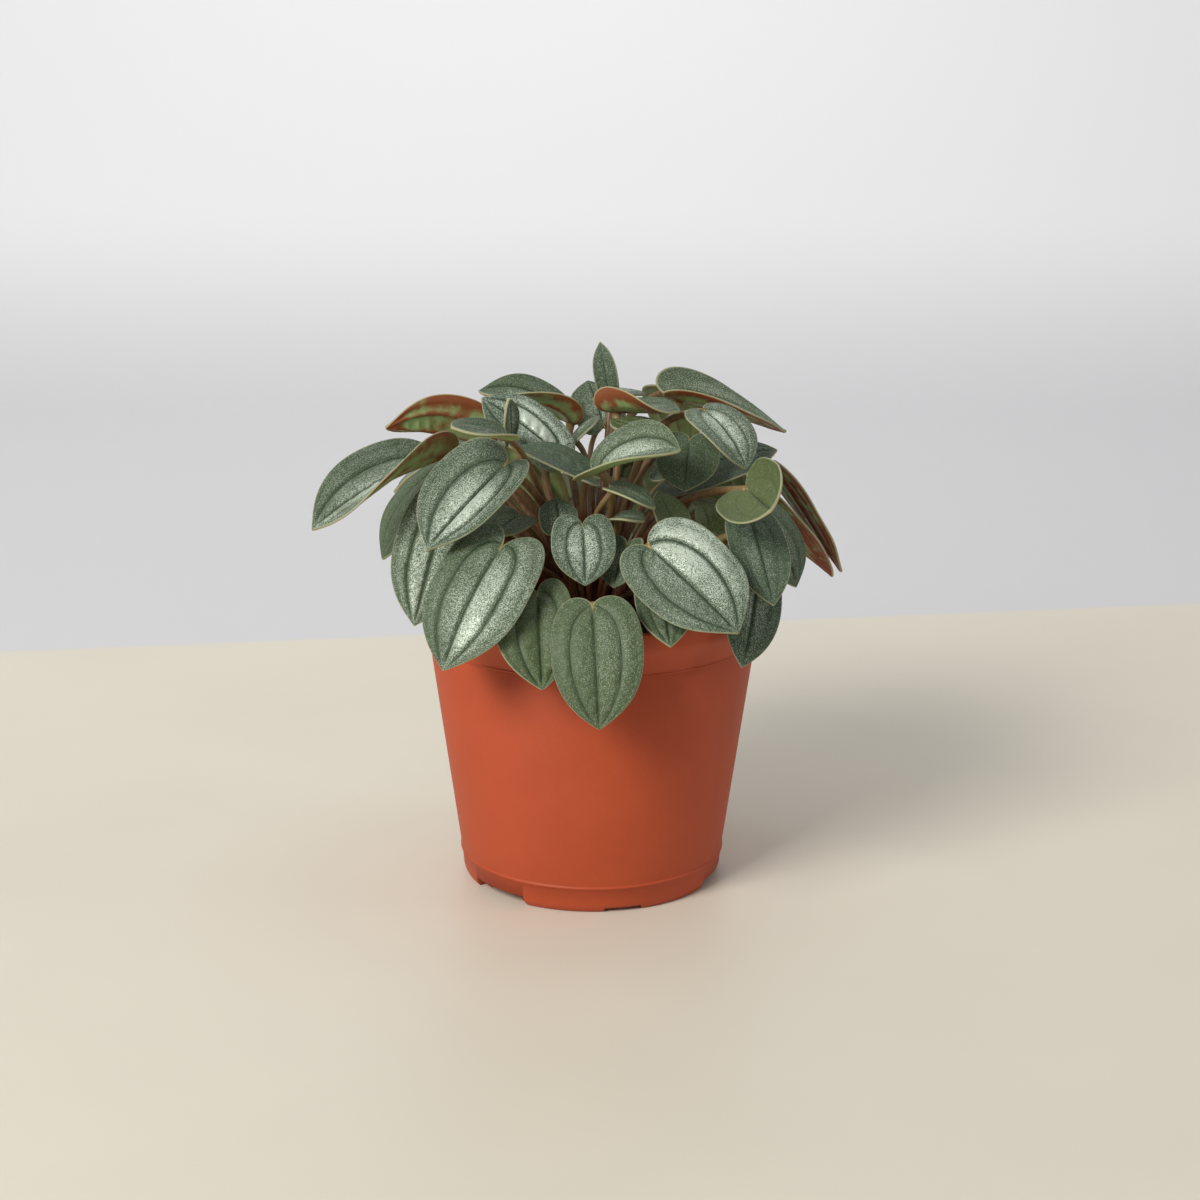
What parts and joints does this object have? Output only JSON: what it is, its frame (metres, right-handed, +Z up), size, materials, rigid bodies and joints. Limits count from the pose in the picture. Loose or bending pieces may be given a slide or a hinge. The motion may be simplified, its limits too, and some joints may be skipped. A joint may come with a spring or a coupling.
{
  "type": "potted plant",
  "caption": "Rosette of silver-green heart-shaped leaves on fleshy stalks, growing in soil in a tapered plastic grower's pot.",
  "frame": {"origin": "centre of the pot's foot, on the surface that it stands on", "axes": "+Z up along the pot's axis; the pictured front of the plant faces -Y, +X to its right"},
  "size_m": [0.1615, 0.1373, 0.1621],
  "materials": {
    "pot": "matte",
    "soil": "matte",
    "stalk": "satin",
    "leaf": "satin"
  },
  "bodies": {
    "root": {"pot": "pot", "soil": "soil", "crown": "stalk", "leaf_front_1": "leaf", "leaf_front_2": "leaf", "leaf_front_3": "leaf", "leaf_front_4": "leaf", "leaf_front_5": "leaf", "leaf_front_6": "leaf", "leaf_front_7": "leaf", "leaf_left_1": "leaf", "leaf_left_2": "leaf", "leaf_left_3": "leaf", "leaf_left_4": "leaf", "leaf_left_5": "leaf", "leaf_left_6": "leaf", "leaf_left_7": "leaf", "leaf_left_8": "leaf", "leaf_top_1": "leaf", "leaf_top_2": "leaf", "leaf_top_3": "leaf", "leaf_top_4": "leaf", "leaf_top_5": "leaf", "leaf_top_6": "leaf", "leaf_top_7": "leaf", "leaf_top_8": "leaf", "leaf_top_9": "leaf", "leaf_top_10": "leaf", "leaf_top_11": "leaf", "leaf_right_1": "leaf", "leaf_right_2": "leaf", "leaf_right_3": "leaf", "leaf_right_4": "leaf", "leaf_right_5": "leaf", "leaf_right_6": "leaf", "leaf_right_7": "leaf", "leaf_right_8": "leaf", "leaf_right_9": "leaf", "leaf_right_10": "leaf", "leaf_inner_1": "leaf", "leaf_inner_2": "leaf", "leaf_inner_3": "leaf", "leaf_inner_4": "leaf", "leaf_inner_5": "leaf", "leaf_inner_6": "leaf", "leaf_back_1": "leaf", "leaf_back_2": "leaf", "leaf_back_3": "leaf", "leaf_back_4": "leaf", "leaf_back_5": "leaf", "leaf_back_6": "leaf", "leaf_back_7": "leaf", "leaf_back_8": "leaf", "leaf_back_9": "leaf", "leaf_back_10": "leaf", "leaf_back_11": "leaf", "leaf_back_12": "leaf", "leaf_back_13": "leaf", "leaf_back_14": "leaf", "leaf_back_15": "leaf"}
  },
  "joints": []
}
